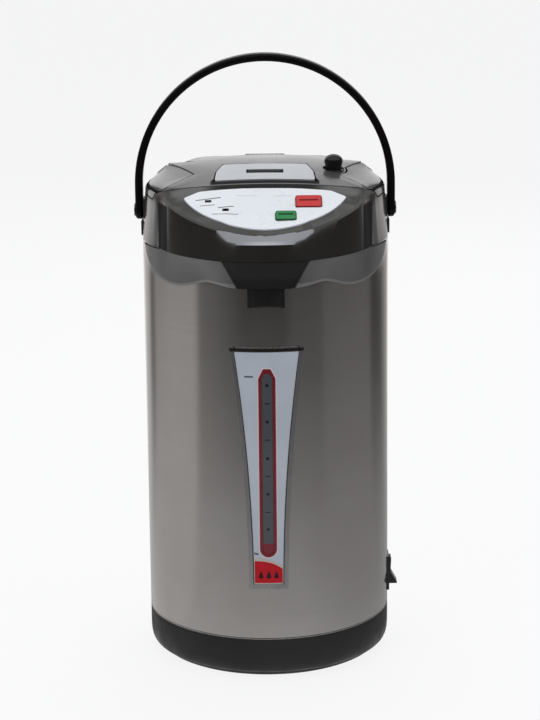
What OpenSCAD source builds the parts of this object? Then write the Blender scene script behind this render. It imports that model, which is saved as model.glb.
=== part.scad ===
// Electric thermo pot: a steel body on a swivel foot, with a moulded head whose
// beak carries the controls and the spout, a hinged lid and a bail handle.
// Origin: body axis, on the floor. Front (the beak) looks towards -Y.

/* [Body] */
// Outer radius of the steel body
body_r = 105; // [100:0.5:110]
// Height of the seam between base ring and steel body
base_h = 37; // [34:1:44]
// Height of the steel body above that seam
shell_h = 329; // [322:1:345]
// Thickness of the steel sheet
steel_t = 0.8; // [0.6:0.1:1.2]
// Wall of the moulded plastic parts
wall = 2.4; // [2:0.1:3]
// Open seam between neighbouring mouldings
seam = 1.2; // [0.6:0.1:1.6]

/* [Foot and base] */
// How far the swivel foot's edge sits in from the body
foot_in = 9; // [7:0.5:14]
// Thickness of the swivel foot's disc
foot_t = 4; // [3:0.5:5]
// Thickness of the rubber pads under the foot
pad_t = 1.5; // [1:0.5:2.5]
// Radius of one rubber pad
pad_r = 9; // [6:1:11]
// Radius of the swivel pin
swivel_r = 9; // [7:0.5:11]
// How far the base ring's lower edge sits in from the body
base_in = 5.6; // [4:0.2:8]
// Wall of the base ring
ring_wall = 3.4; // [2.8:0.2:4]
// Rounding of the base ring's lower edge
base_round = 5; // [4:0.5:6]
// Thickness of the base plate
base_plate_t = 3; // [2.5:0.5:4]

/* [Inner pot] */
// Room between the pot and the steel body, which the water tubes need
pot_gap = 13.4; // [12.8:0.2:18]
// Height of the pot's floor above the base seam
pot_floor_h = 34; // [32:1:40]
// Rounding between the pot's wall and floor
pot_round = 20; // [12:1:26]
// How far the filling mouth's radius is short of the pot's
mouth_in = 30.5; // [29:0.5:34]
// How far the mouth sits behind the body axis
mouth_y = 18; // [17:1:19]
// Height of the mouth's rim above its plate
mouth_h = 28; // [25:1:29]

/* [Level gauge] */
// Outer radius of the gauge tube
tube_r = 5; // [4:0.25:5.5]
// Bore radius of the water tubes
tube_bore = 3.2; // [2.4:0.2:3.6]
// Half width of the gauge frame at its top
gauge_top_w = 31; // [27:1:34]
// Half width of the gauge frame at its bottom
gauge_low_w = 16.6; // [14:0.2:19]
// Height of the gauge frame's lower edge above the base seam
gauge_low_h = 46; // [40:1:52]
// Length of the gauge frame
gauge_l = 208.5; // [196:0.5:212]
// Half width of the red surround
slot_w = 7; // [6:0.5:8]
// Width of the red surround's rim
slot_rim = 2.3; // [1.6:0.1:2.6]

/* [Head] */
// How far the beak stands out past the body
beak = 24.6; // [20:0.2:28]
// Angle from the front at which the beak starts
beak_a = 56.25; // [52.5:3.75:60]
// Height of the beak's front shoulder above the head's seam
beak_h = 19.7; // [17:0.1:21]
// Height of the side shoulder above the head's seam
side_h = 43; // [41:0.5:45]
// Height of the lid's crown above the head's seam
crown_h = 63.2; // [60:0.2:66]
// Length of the controls' slope, from the front shoulder to the lid's front edge
slope_l = 75; // [72:0.5:78]
// How far the lid's rear edge sits in from the side of the head
lid_in = 19.2; // [18:0.2:22]
// Drop of the bib below the head's seam, at its lowest point
bib_drop = 28; // [25:0.2:31]
// How much shallower the bib is under the spout
chin_rise = 4.6; // [3:0.2:7]

/* [Handle] */
// Height of the handle's pivot above the head's seam
pivot_h = 22.2; // [21:0.2:25]
// Room between the side of the head and the bail
bail_gap = 2.2; // [1.6:0.2:4]
// Straight stretch of each arm above its pivot
arm_h = 21.6; // [18:0.2:24]
// Thickness of the bail across the arm
bail_t = 6.6; // [6:0.1:7]
// Depth of the bail from front to back
bail_d = 16; // [13:0.5:17]
// Radius of the pivot pins
pivot_r = 4; // [3:0.25:5]

/* [Lid] */
// How far the lid's hinge sits in from the back of the body
hinge_in = 14; // [13:0.5:15]
// Height of the lid hinge above the head's seam
hinge_h = 48.2; // [47:0.2:49]
// Radius of the hinge pin
hinge_r = 2; // [1.5:0.25:2.5]
// Radius of the hinge knuckles
knuckle_r = 5.4; // [4.6:0.2:5.8]
// Width of the latch lever at its front edge
latch_w = 84; // [70:1:86]
// Depth of the latch lever from front to back
latch_d = 35; // [32:1:38]
// Distance of the latch lever behind the lid's front edge
latch_in = 7.5; // [6:0.5:9]
// Radius of the steam knob
knob_r = 8; // [7:0.5:9]
// Height of the steam knob
knob_h = 13; // [10:0.5:15]
// How far the steam knob sits in from the side of the body
knob_in = 46.8; // [45:0.2:48]

/* [Controls] */
// Travel of the push buttons
button_travel = 1.2; // [0.6:0.1:1.6]
// Gap round moving plastic parts
play = 0.35; // [0.25:0.05:0.5]
// Height of the rocker switch's frame
switch_h = 31; // [27:1:33]
// Width of the rocker switch's frame
switch_w = 21; // [17:1:23]
// Height of the rocker switch's centre above the base seam
switch_z = 26; // [24:1:34]
// Gap of a running fit, on the radius
running = 0.05; // [0.03:0.01:0.08]

/* [Hidden] */
$fn = 64;

// heights of the stack, from the floor up
foot_r = body_r - foot_in;
foot_top = pad_t + foot_t;
base_z = foot_top + 0.5;
shell_top = base_h + shell_h;
head_z = shell_top + steel_t;
pot_z = base_h + pot_floor_h;
collar_z = head_z + 2;
collar_t = 3;
rim_z = collar_z + collar_t + mouth_h;
pivot_z = head_z + pivot_h;
hinge_z = head_z + hinge_h;
gauge_z0 = base_h + gauge_low_h;
shell_in = body_r - steel_t;
pot_r = shell_in - pot_gap - steel_t;
mouth_r = pot_r - mouth_in;
base_low_r = body_r - base_in;
hinge_y = body_r - hinge_in;
knob_x = body_r - knob_in;
knob_y = -10;
tube_y = -(pot_r + steel_t + shell_in) / 2;
pump_y = -(pot_r - 32);
eps = 0.02;

// ---------------------------------------------------------------- head form
head_r = body_r + 0.2;          // head at its seam, a hair outside the steel
lean_h = 13.5;                  // height of the near-vertical wall
lean = 2.2;                     // how far that wall leans in
side_in = 3.4;                  // how far the shoulder sits in from the seam
front_in = 1.2;                 // how much further it sits in on the beak
chamfer = 3.4;                  // depth of the chamfer at the middle of the beak
chamfer_a = [14, 18.75];         // angles between which that chamfer runs out
crown_y = 30;                   // where the lid is highest
crown_fall = 14.2;              // fall of the crown from there to the lid's front
side_fall = 0.00063;            // sideways fall of the crown, per mm squared
lid_rear_r = head_r - lid_in;   // radius of the lid's rear edge
cap_y = 22;                     // front edge of the rear cover's side wall
steps = 96;                     // directions in the head's loft

function smooth(t) = let (u = min(max(t, 0), 1)) u * u * (3 - 2 * u);
function beak_w(a) = pow(min(max((beak_a - abs(a)) / (beak_a - 12), 0), 1), 0.8);
function seam_r(a) = head_r + beak * beak_w(a);
function chamfer_w(a) = min(max((chamfer_a[1] - abs(a)) / (chamfer_a[1] - chamfer_a[0]), 0), 1);
function shoulder_r(a) = seam_r(a) - side_in - front_in * beak_w(a) - chamfer * chamfer_w(a);
function shoulder_h(a) = beak_h + (side_h - beak_h) * smooth(abs(a) / 72);
function crown(y) = crown_h - crown_fall * pow((y - crown_y) / (y > crown_y ? 62 : 80), 2);
function top_h(x, y) = min(crown(y) - side_fall * x * x,
  side_h + 5 + 0.8 * (head_r - 5.2 - norm([x, y])));
// lean of the wall at lean_h: straight up to the shoulder, but for the chamfer
function wall_lean(a) = let (w = chamfer_w(a))
  lean * w + (side_in + front_in * beak_w(a)) * lean_h / shoulder_h(a) * (1 - w);
// the shoulder's rounding: how far in, and how far up
function roll_in(a) = 2.2 - 0.8 * beak_w(a);
function roll_up(a) = 2.6 - 1.2 * beak_w(a);
lid_front = shoulder_r(0) - roll_in(0) - slope_l;
// the "<" crease beside the lid: front end, inner corner and rear end
facet_f = [lid_rear_r, -lid_front];
facet_v = [head_r - 46.5, -lid_front + 25];
facet_b = [lid_rear_r - 3, facet_v.y + 43.4];
function bearing(p) = atan2(p.x, -p.y);
// distance of the line through p and q from the axis, in direction a
function line_r(p, q, a) = (p.x * (q.y - p.y) - p.y * (q.x - p.x)) /
  (sin(a) * (q.y - p.y) + cos(a) * (q.x - p.x));
function crease_r(b) = b < bearing(facet_f) ? lid_front / cos(b) :
  b < bearing(facet_v) ? line_r(facet_f, facet_v, b) :
  b < bearing(facet_b) ? line_r(facet_v, facet_b, b) : 2 * head_r;
function inner_r(a) = min(crease_r(abs(a)), shoulder_r(a) - 4);

// one ring of the head's form: level 0 is the seam, then wall, shoulders and top
function ring_point(k, a, off) =
  let (
    rs = shoulder_r(a) - off, hs = shoulder_h(a), ri = rs - roll_in(a), hi = hs + roll_up(a) - off,
    re = inner_r(a),
    px = re * sin(a), py = -re * cos(a), he = top_h(px, py) - off,
    u = (k - 3) / 3, v = (9.5 - min(k, 9.5)) / 3.5,
    rk = k == 0 ? seam_r(a) - off : k == 1 ? seam_r(a) - wall_lean(a) - off : k == 2 ? rs :
      k <= 6 ? ri * (1 - u) + re * u : re * v,
    tx = rk * sin(a), ty = -rk * cos(a),
    hk = k == 0 ? 0 : k == 1 ? lean_h : k == 2 ? hs - off * 0.6 :
      k <= 6 ? hi * (1 - u) + he * u : top_h(tx, ty) - off)
  [tx, ty, head_z + hk];

// a solid skinned over closed rings of equal length, first ring at the bottom
module skin(rings) {
  n = len(rings[0]);
  m = len(rings);
  pts = [for (r = rings) each r];
  polyhedron(pts, [
    [for (i = [0 : n - 1]) i],
    for (j = [0 : m - 2]) for (i = [0 : n - 1])
      each [[j * n + i, (j + 1) * n + i, (j + 1) * n + (i + 1) % n],
            [j * n + i, (j + 1) * n + (i + 1) % n, j * n + (i + 1) % n]],
    [for (i = [n - 1 : -1 : 0]) (m - 1) * n + i]], convexity = 6);
}

// the outside of the head, or a form lying off mm inside it
module head_form(off = 0)
  skin([for (k = [0, 1, 2, 3, 4, 5, 6, 7, 8, 9])
    [for (i = [0 : steps - 1]) ring_point(k, (i - steps / 2) * 360 / steps, off)]]);

// sculpted mouldings are kept as one closed mesh each
module moulding() { resize([0, 0, 0]) render() children(); }
module head_shell(t = wall) { difference() { head_form(0); translate([0, 0, -eps]) head_form(t); } }

// a round cut whose corners keep off the directions of the loft
module round_plan(r) rotate(plan_turn) circle(r = r, $fn = 90);
plan_turn = 0.9;
// plan outline of the lid: straight front, "<" creases, round rear, knob lobe
lid_lip = 0.4;                  // how far the lid's edge reaches past the crease
lobe = 2.4;                     // room round the knob on the lid
module lid_plan(grow = 0) {
  offset(delta = grow) union() {
    intersection() {
      offset(delta = lid_lip) polygon([[-facet_f.x, -lid_front], [facet_f.x, -lid_front], facet_v,
        facet_b, [head_r, facet_b.y + 12], [head_r, head_r], [-head_r, head_r],
        [-head_r, facet_b.y + 12], [-facet_b.x, facet_b.y], [-facet_v.x, facet_v.y]]);
      round_plan(head_r - 7);
      union() {
        round_plan(lid_rear_r);
        translate([-head_r, -head_r]) square([2 * head_r, head_r + facet_b.y - 2]);
      }
    }
    translate([knob_x, knob_y]) circle(r = knob_r + lobe, $fn = 40);
  }
}
module tall(h0 = -40, h1 = 90) translate([0, 0, head_z + h0]) linear_extrude(h1 - h0) children();

// side outline of the front cover; its rear edge has the V under the cap
module front_side(grow = 0)
  rotate([90, 0, 90]) translate([0, 0, -160]) linear_extrude(320)
    offset(delta = grow) polygon([[-200, head_z - 60], [-cap_y, head_z - 60],
      [-cap_y, head_z + 38.4], [-40, head_z + 37], [-lid_front - seam, head_z + 44.4],
      [-lid_front - seam, head_z + 120], [-200, head_z + 120]]);

// ------------------------------------------------------------ foot and base
module swivel_foot() color([0.1, 0.1, 0.1]) {
  rotate_extrude($fn = 96) polygon([[0, pad_t], [foot_r - 3, pad_t], [foot_r, pad_t + 1.5],
    [foot_r, foot_top], [foot_r - 3, foot_top], [foot_r - 5, foot_top - 1.5],
    [swivel_r + 6, foot_top - 1.5], [swivel_r + 6, foot_top], [swivel_r, foot_top],
    [swivel_r, base_z + base_plate_t + 9], [0, base_z + base_plate_t + 9]]);
}
module foot_pads() color([0.07, 0.07, 0.07]) {
  cylinder(r = pad_r + 4, h = pad_t);
  for (a = [45 : 90 : 315]) rotate(a) translate([foot_r - pad_r - 6, 0, 0])
    cylinder(r = pad_r, h = pad_t);
}
module swivel_clip() color([0.75, 0.75, 0.77])
  translate([0, 0, base_z + base_plate_t + 6.3]) difference() {
    cylinder(r = swivel_r + 5, h = 1.6);
    translate([0, 0, -1]) cylinder(r = swivel_r + eps, h = 4);
  }
module ring_side(top) polygon([[0, base_z], [base_low_r, base_z],
  [base_low_r + 3.4, base_z + base_round * 0.45], [body_r - 0.4, base_z + base_round + 3],
  [body_r, base_z + base_round + 9], [body_r, top], [0, top]]);
module base_ring() color([0.2, 0.2, 0.21]) rotate_extrude($fn = 96) {
  difference() {
    ring_side(base_h);
    offset(delta = -ring_wall) ring_side(base_h + 2 * ring_wall);
    translate([0, base_z - 1]) square([base_low_r - 3, base_h]);
  }
  // spigot that centres the steel body
  translate([shell_in - 2.6, base_h - 1]) square([2.5, 5]);
}
module base_plate() color([0.16, 0.16, 0.17]) difference() {
  union() {
    translate([0, 0, base_z]) cylinder(r = base_low_r - 3.2, h = base_plate_t, $fn = 96);
    translate([0, 0, base_z]) cylinder(r = swivel_r + 6, h = base_plate_t + 6);
    for (p = board_posts) translate([p.x, p.y, base_z]) cylinder(r = 3.5, h = 12, $fn = 32);
    for (a = screw_angles) rotate(a) translate([screw_pcd, 0, base_z]) cylinder(r = 6, h = 7);
  }
  translate([0, 0, base_z - 1]) cylinder(r = swivel_r + running, h = 20);
  for (a = screw_angles) rotate(a) translate([screw_pcd, 0, base_z - 1]) {
    cylinder(r = 2.1, h = 20, $fn = 32);
    cylinder(r = 4.3, h = 3, $fn = 32);
  }
  // two rows of cooling slots
  for (a = [-60 : 15 : 60]) rotate(a) translate([40, -1.5, base_z - 1]) cube([22, 3, 8]);
}
screw_angles = [45, 135, 225, 315];
screw_pcd = base_low_r - 15.4;
board_posts = [[-20, 34], [20, 34], [-20, 72], [20, 72]];
module base_screws() color([0.7, 0.7, 0.72])
  for (a = screw_angles) rotate(a) translate([screw_pcd, 0, base_z + 0.6]) difference() {
    union() {
      cylinder(r = 3.9, h = 1.4, $fn = 32);
      cylinder(r = 2, h = 15, $fn = 32);
    }
    for (q = [0, 90]) rotate(q) translate([-2.2, -0.4, -1]) cube([4.4, 0.8, 1.8]);
  }

// ---------------------------------------------------------------- steel body
module outer_shell() color([0.55, 0.54, 0.52]) difference() {
  rotate_extrude($fn = 128) polygon([[shell_in, base_h], [body_r, base_h],
    [body_r, shell_top], [pot_r + 3, shell_top], [pot_r + 3, shell_top - steel_t],
    [shell_in, shell_top - steel_t]]);
  // window for the level gauge
  translate([-slot_w + 1, -body_r - 5, slot_z0 + 4]) cube([2 * slot_w - 2, 12, slot_z1 - slot_z0 - 8]);
  // notch for the spout
  translate([-10, -body_r - 5, head_z - 27]) cube([20, 12, 24]);
  // rocker switch and mains inlet
  translate([body_r - 12, -switch_w / 2 - 0.2, base_h + switch_z - switch_h / 2 - 0.2])
    cube([24, switch_w + 0.4, switch_h + 0.4]);
  translate([-inlet_w / 2 - 0.2, body_r - 12, inlet_z - inlet_h / 2 - 0.2])
    cube([inlet_w + 0.4, 24, inlet_h + 0.4]);
}
module inner_pot() color([0.8, 0.8, 0.81]) difference() {
  rotate_extrude($fn = 96) {
    difference() {
      union() {
        translate([0, pot_z]) square([pot_r + steel_t - pot_round, steel_t + 1]);
        translate([0, pot_z + pot_round]) square([pot_r + steel_t, shell_top - pot_z - pot_round]);
        translate([pot_r + steel_t - pot_round, pot_z + pot_round]) circle(r = pot_round);
        translate([0, pot_z]) square([pot_r + steel_t - pot_round, pot_round]);
        translate([pot_r, shell_top]) square([6, steel_t]);
        translate([pot_r, shell_top - 1]) square([steel_t, 1 + steel_t]);
      }
      translate([-60, pot_z + pot_round]) square([pot_r + 60, shell_h]);
      translate([pot_r + steel_t - pot_round, pot_z + pot_round]) circle(r = pot_round - steel_t);
      translate([0, pot_z + steel_t]) square([pot_r + steel_t - pot_round, pot_round]);
      translate([-60, 0]) square([60, 500]);
    }
  }
  translate([0, pump_y, pot_z - 1]) cylinder(r = tube_bore, h = 4);
}
module pot_gasket() color([0.85, 0.83, 0.78]) translate([0, 0, head_z])
  difference() {
    cylinder(r = pot_r + 5, h = collar_z - head_z, $fn = 96);
    translate([0, 0, -1]) cylinder(r = pot_r - 1, h = 6, $fn = 96);
  }
module heater_band() color([0.5, 0.45, 0.4]) translate([0, 0, pot_z - 8]) difference() {
  union() {
    cylinder(r = 48, h = 8);
    for (s = [-6, 6]) translate([s, 38, -7]) cylinder(r = 2.2, h = 8, $fn = 24);
  }
  translate([0, 0, -1]) cylinder(r = 32, h = 10);
}
module thermostat() color([0.75, 0.72, 0.6]) {
  translate([0, 0, pot_z - 6]) cylinder(r = 8.5, h = 6);
  translate([0, 0, pot_z - 11]) cylinder(r = 11, h = 5);
  for (s = [-5, 5]) translate([s - 0.4, -3, pot_z - 19]) cube([0.8, 6, 8.5]);
}

// ----------------------------------------------------------- pump and tubes
pump_z = pot_z - 31;
pump_cap_z = pot_z - 13;
module pump_housing() color([0.88, 0.88, 0.85]) translate([0, pump_y, 0]) difference() {
  union() {
    translate([0, 0, pump_z]) cylinder(r = 19, h = pump_cap_z - pump_z);
    translate([0, 0, pump_cap_z - 0.5]) cylinder(r = tube_r + 2.4, h = 5);
    translate([0, -14, pump_z + 9]) rotate([90, 0, 0]) cylinder(r = tube_r + 1, h = 11);
  }
  translate([0, 0, pump_z + 2.4]) cylinder(r = 16, h = pump_cap_z - pump_z - 4.8);
  translate([0, 0, pump_cap_z - 6]) cylinder(r = tube_r, h = 20);
  translate([0, -12, pump_z + 9]) rotate([90, 0, 0]) cylinder(r = tube_bore, h = 20);
  translate([0, 0, pump_z - 1]) cylinder(r = 1.5 + running, h = 8);
}
module pump_motor() color([0.6, 0.6, 0.62]) translate([0, pump_y, 0]) difference() {
  union() {
    translate([0, 0, base_z + base_plate_t]) cylinder(r = 14, h = pump_z - base_z - base_plate_t);
    translate([0, 0, base_z + base_plate_t]) cylinder(r = 17, h = 2);
  }
  translate([0, 0, base_z + base_plate_t + 8]) cylinder(r = 1.5 + running, h = 60);
}
module impeller() color([0.3, 0.3, 0.32]) translate([0, pump_y, 0]) {
  translate([0, 0, base_z + base_plate_t + 10]) cylinder(r = 1.5, h = pump_z - base_z);
  translate([0, 0, pump_z + 3.4]) cylinder(r = 13.5, h = 1.6);
  translate([0, 0, pump_z + 3.4]) cylinder(r = 4, h = 7);
  for (a = [0 : 60 : 300]) rotate(a) translate([3, -0.7, pump_z + 4.9]) cube([10, 1.4, 4.5]);
}
module suction_tube() color([0.9, 0.9, 0.88]) translate([0, pump_y, pump_cap_z - 6])
  difference() {
    cylinder(r = tube_r - 0.02, h = pot_z - pump_cap_z + 6);
    translate([0, 0, -1]) cylinder(r = tube_bore, h = 40);
  }
module outlet_elbow() color([0.86, 0.84, 0.8]) difference() {
  union() {
    translate([0, tube_y, pump_z + 9]) rotate([-90, 0, 0])
      cylinder(r = tube_r + 1, h = pump_y - 25 - tube_y);
    translate([0, tube_y, pump_z + 9]) sphere(r = tube_r + 1);
    translate([0, tube_y, pump_z + 9]) cylinder(r = tube_r + 1, h = 13);
  }
  translate([0, tube_y, pump_z + 9]) rotate([-90, 0, 0]) cylinder(r = tube_bore, h = 60);
  translate([0, tube_y, pump_z + 9]) cylinder(r = tube_bore, h = 60);
}
gauge_tube_z = pump_z + 22;
gauge_tube_top = head_z - 22;
module gauge_tube() color([0.8, 0.9, 0.95, 0.5]) translate([0, tube_y, gauge_tube_z])
  difference() {
    cylinder(r = tube_r, h = gauge_tube_top - gauge_tube_z);
    translate([0, 0, -1]) cylinder(r = tube_bore, h = gauge_tube_top - gauge_tube_z + 2);
  }
spout_y = -(body_r + 6.6);
module spout_elbow() color([0.86, 0.84, 0.8]) difference() {
  union() {
    translate([0, tube_y, gauge_tube_top]) cylinder(r = tube_r + 0.8, h = 12);
    translate([0, tube_y, gauge_tube_top + 12]) sphere(r = tube_r + 0.8);
    translate([0, spout_y, gauge_tube_top + 12]) rotate([-90, 0, 0])
      cylinder(r = tube_r + 0.8, h = tube_y - spout_y);
    translate([0, spout_y, gauge_tube_top + 12]) sphere(r = tube_r + 0.8);
    translate([0, spout_y, nozzle_top]) cylinder(r = tube_r + 0.8, h = gauge_tube_top + 12 - nozzle_top);
  }
  translate([0, tube_y, gauge_tube_top - 1]) cylinder(r = tube_bore, h = 13);
  translate([0, tube_y, gauge_tube_top + 12]) sphere(r = tube_bore);
  translate([0, spout_y, gauge_tube_top + 12]) rotate([-90, 0, 0])
    cylinder(r = tube_bore, h = tube_y - spout_y);
  translate([0, spout_y, gauge_tube_top + 12]) sphere(r = tube_bore);
  translate([0, spout_y, nozzle_top - 1]) cylinder(r = tube_bore, h = gauge_tube_top + 13 - nozzle_top);
}

// ------------------------------------------------------------- level gauge
function gauge_half(t) = gauge_low_w + (gauge_top_w - gauge_low_w) * pow(t, 1.9);
// outline on the front plane: half width against height, inset by a rim
module gauge_outline(inset, rise = 0) {
  steps_g = 12;
  right = [for (i = [0 : steps_g]) let (t = i / steps_g)
    [gauge_half(t) - inset, gauge_z0 + rise + t * (gauge_l - rise) + inset * (1 - 2 * t)]];
  polygon(concat(right, [for (i = [steps_g : -1 : 0]) [-right[i].x, right[i].y]]));
}
module on_front(r0, r1) intersection() {
  difference() {
    cylinder(r = r1, h = shell_top, $fn = 128);
    translate([0, 0, -1]) cylinder(r = r0, h = shell_top + 2, $fn = 128);
  }
  rotate([90, 0, 0]) linear_extrude(140) children();
}
slot_z0 = gauge_z0 + 28;
slot_z1 = gauge_z0 + gauge_l - 18.5;
module slot_outline(inset) offset(delta = -inset) {
  translate([0, slot_z0 + slot_w]) circle(r = slot_w, $fn = 40);
  polygon([[-slot_w, slot_z0 + slot_w], [slot_w, slot_z0 + slot_w], [slot_w, slot_z1 - 8],
    [slot_w * 0.45, slot_z1], [-slot_w * 0.45, slot_z1], [-slot_w, slot_z1 - 8]]);
}
module gauge_frame() color([0.62, 0.62, 0.62]) on_front(body_r, body_r + 1) difference() {
  gauge_outline(0);
  gauge_outline(4.2);
}
module gauge_panel() color([0.7, 0.74, 0.8]) on_front(body_r, body_r + 0.6) difference() {
  gauge_outline(4.3);
  slot_outline(0);
}
module gauge_bezel() color([0.6, 0.04, 0.12]) on_front(body_r, body_r + 1.2) difference() {
  slot_outline(0.05);
  slot_outline(slot_rim);
}
module gauge_window() color([0.35, 0.36, 0.38, 0.6]) on_front(body_r, body_r + 0.7)
  slot_outline(slot_rim + 0.05);

// --------------------------------------------------------------------- head
function bib_low(a) = let (b = abs(a))
  b < 24 ? -bib_drop + chin_rise + 2.2 * smooth((b - 8) / 12) :
  b < 43 ? -bib_drop + (chin_rise + 2.2) * (1 - smooth((b - 24) / 19)) :
  -0.6 - (bib_drop - 0.6) * pow(1 - pow((min(b, bib_a) - 43) / (bib_a - 43), 2.2), 0.75);
bib_a = 72.8;                   // half angle of the bib
bib_r = body_r + 0.25;
bib_levels = 7;
bib_steps = 36;
chin = 13;                      // how far the spout's chin stands out at its lower edge
chin_a = [11, 31];              // angles between which the chin runs into the wings
apron = 0.3;                    // share of the chin's height that hangs straight down
scroll = 2.2;                   // how far the wings' inner ends stand proud of the chin
bib_wall = 0.75 * wall;
// 1 on the chin, 0 on the wings, with a boundary that closes in downwards
function chin_w(a, u) = smooth((14 + 3.5 * u - abs(a)) / 2.5);
function bib_point(k, a, off) =
  let (
    u = k / bib_levels, w = chin_w(a, u), v = max(u - apron * w, 0) / (1 - apron * w),
    low_r = bib_r + 1.4 + chin * smooth((chin_a[1] - abs(a)) / (chin_a[1] - chin_a[0])),
    proud = scroll * (1 - w) * smooth((27 - abs(a)) / 11) * pow(1 - u, 0.7),
    out = low_r + proud + (max(seam_r(a) - 1.6, low_r + 0.2) - low_r) * pow(v, 1.35 - 0.35 * w),
    r = max(bib_r, out - off))
  [r * sin(a), -r * cos(a), head_z - 0.6 + bib_low(a) * (1 - u)];
// a closed shell between two grids of points with the same rows and columns
module slab(outer, inner) {
  rows = len(outer);
  cols = len(outer[0]);
  n = rows * cols;
  polyhedron(concat([for (r = outer) each r], [for (r = inner) each r]), [
    for (j = [0 : rows - 2]) for (i = [0 : cols - 2]) let (p = j * cols + i)
      each [[p, p + cols, p + cols + 1], [p, p + cols + 1, p + 1],
            [n + p, n + p + cols + 1, n + p + cols], [n + p, n + p + 1, n + p + cols + 1]],
    for (i = [0 : cols - 2]) let (q = (rows - 1) * cols + i)
      each [[i, i + 1, n + i + 1], [i, n + i + 1, n + i],
            [q, n + q + 1, q + 1], [q, n + q, n + q + 1]],
    for (j = [0 : rows - 2]) let (p = j * cols, q = p + cols - 1)
      each [[p, n + p, n + p + cols], [p, n + p + cols, p + cols],
            [q, n + q + cols, n + q], [q, q + cols, n + q + cols]]], convexity = 6);
}
// the chin and the wings under the head: a shell that hugs the steel
module bib() color([0.3, 0.3, 0.31]) moulding() difference() {
  slab([for (k = [0 : bib_levels]) [for (i = [-bib_steps : bib_steps])
      bib_point(k, i * bib_a / bib_steps, 0)]],
    [for (k = [0 : bib_levels]) [for (i = [-bib_steps : bib_steps])
      bib_point(k, i * bib_a / bib_steps, k == 0 ? 1.4 : bib_wall)]]);
  // passage of the spout
  translate([-12, -body_r - 8, head_z - 29]) cube([24, 8, 26]);
}
nozzle_w = 30.6;
nozzle_z = head_z - 41.8;
nozzle_top = head_z - bib_drop + chin_rise;
nozzle_d = 14.2;                // how far the nozzle stands out
module nozzle() color([0.06, 0.06, 0.06]) difference() {
  union() {
    // floor of the chin
    translate([0, 0, nozzle_top - 1]) linear_extrude(2) intersection() {
      circle(r = bib_r + chin - 0.3, $fn = 128);
      translate([-21.5, -140]) square([43, 60]);
    }
    intersection() {
      translate([-nozzle_w / 2, -body_r - nozzle_d, nozzle_z])
        cube([nozzle_w, nozzle_d - 0.6, nozzle_top - nozzle_z - 0.8]);
      translate([0, -body_r + 12, 0]) cylinder(r = nozzle_d + 12, h = head_z, $fn = 96);
      translate([-nozzle_w, -body_r - 2, nozzle_z + 22]) rotate([0, 90, 0])
        cylinder(r = 22, h = 2 * nozzle_w);
    }
  }
  translate([0, spout_y, nozzle_z - 5]) cylinder(r = tube_bore + 1.6, h = 10);
  translate([0, spout_y, nozzle_z]) cylinder(r = tube_bore, h = 40);
  translate([0, spout_y, nozzle_top]) cylinder(r = tube_r + 0.82, h = 20);
  translate([0, 0, nozzle_z - 1]) cylinder(r = body_r + 0.4, h = 40, $fn = 128);
}

module front_cover() color([0.2, 0.19, 0.18]) moulding() difference() {
  intersection() {
    head_shell();
    front_side();
  }
  tall() lid_plan(seam);
  // openings for the buttons and the lenses
  for (b = [red_at, green_at]) on_slope(b) button_hole(b);
  for (l = lens_at) on_slope(l) cylinder(r = 2.4, h = 14, center = true, $fn = 24);
}
module rear_cover() color([0.25, 0.25, 0.26]) moulding() difference() {
  head_shell();
  front_side(seam);
  tall() lid_plan(seam);
  facet_zone(seam);
  // rebate for the lid's rear edge, which swings back a little before it clears
  tall(relief_z) intersection() {
    round_plan(lid_rear_r + seam + relief);
    translate([-relief_w / 2, lid_rear_r / 2]) square([relief_w, lid_rear_r]);
  }
  // the tips of the shoulder caps end short of the lid's front corners
  translate([-head_r, -lid_front - 2, head_z + side_h - 1]) cube([2 * head_r, 4.4, 20]);
  // hinge opening and windows for the pivot blocks
  translate([-20, hinge_y - 8, hinge_z - 16]) cube([40, 16, 30]);
  for (s = [-1, 1]) translate([s * (head_r - 5) - 10, -block_w / 2 - 0.2, head_z + 1.4])
    cube([20, block_w + 0.4, block_h + 0.4]);
}
relief = 0.6;                   // width of that rebate
relief_w = 124;                 // its length along the edge
relief_z = side_h + 5;          // its floor, above the head's seam
// the two flat facets beside the lid
module facet_zone(grow = 0) tall(34) offset(delta = grow)
  for (s = [-1, 1]) scale([s, 1]) difference() {
    intersection() {
      round_plan(head_r - 5.4);
      polygon([facet_v, facet_f, [head_r + 15, facet_f.y + 12], [head_r + 15, facet_b.y + 4],
        facet_b]);
    }
    if (s == 1) translate([knob_x, knob_y]) circle(r = knob_r + lobe + 0.4 + seam, $fn = 40);
  }
module side_facets() color([0.5, 0.5, 0.5]) moulding() intersection() {
  head_shell();
  difference() {
    facet_zone(0);
    tall() lid_plan(seam);
    front_side(seam);
  }
}
module fill_collar() color([0.8, 0.8, 0.8]) translate([0, 0, collar_z]) difference() {
  union() {
    cylinder(r = pot_r + 6, h = collar_t, $fn = 96);
    translate([0, mouth_y, 0]) cylinder(r = mouth_r + wall, h = collar_t + mouth_h, $fn = 96);
  }
  translate([0, mouth_y, -1]) cylinder(r = mouth_r, h = collar_t + mouth_h + 2, $fn = 96);
}
module collar_screws() color([0.7, 0.7, 0.72])
  for (a = [20, 160, 215, 325]) rotate(a) translate([pot_r + 1.5, 0, collar_z + collar_t])
    cylinder(r = 2.6, h = 2, $fn = 24);

// ----------------------------------------------------------------- controls
// the slope of the panel, taken along the middle of the beak
slope_z0 = shoulder_h(0) + roll_up(0);
slope_y0 = -(shoulder_r(0) - roll_in(0));
slope_y1 = -lid_front;
slope_z1 = top_h(0, slope_y1);
slope = atan((slope_z1 - slope_z0) / (slope_y1 - slope_y0));
function slope_h(y) = slope_z0 + (y - slope_y0) * tan(slope);
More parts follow.
